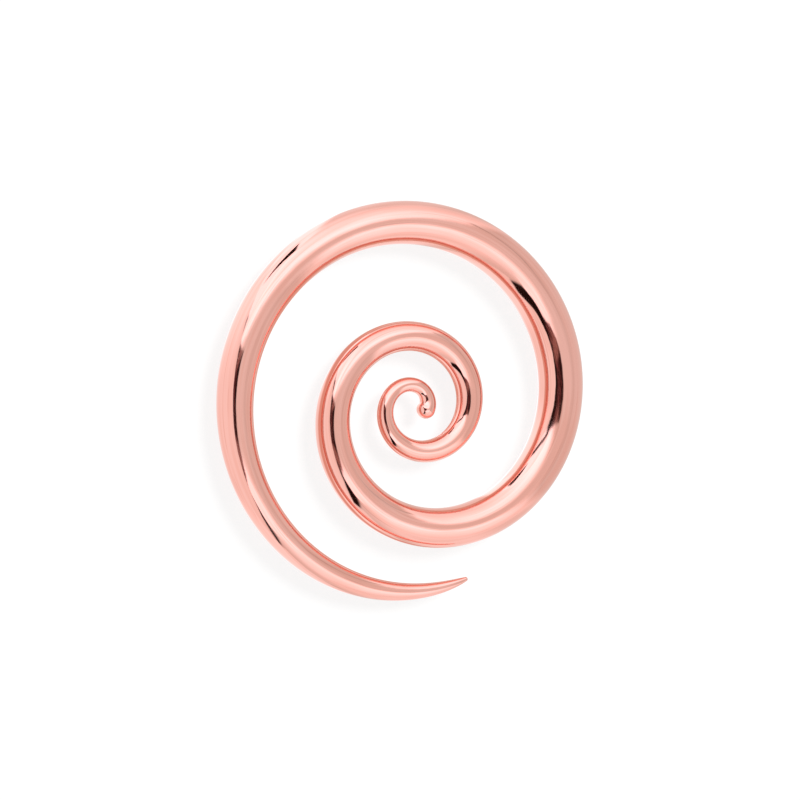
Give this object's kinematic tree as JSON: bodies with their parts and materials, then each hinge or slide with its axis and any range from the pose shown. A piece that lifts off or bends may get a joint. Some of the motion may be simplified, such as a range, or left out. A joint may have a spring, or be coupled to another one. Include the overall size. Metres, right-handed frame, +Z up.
{
  "type": "spiral ear taper",
  "caption": "Round metal rod wound into a flat spiral, thickest in its outer turn, with a fine rounded point outside and a small knob in the middle, worn through a stretched ear lobe.",
  "frame": {"origin": "middle of the bounding box's base, on the surface that the taper lies on", "axes": "+Z up, square to the spiral's plane; +X and +Y lie in that plane, +X the picture's right and +Y its top, so the outer point is at the -Y side"},
  "size_m": [0.0426, 0.0434, 0.005],
  "materials": {
    "rose_gold": "polished rose-gold plate"
  },
  "bodies": {
    "root": {"spiral_rod": "rose_gold"}
  },
  "joints": []
}
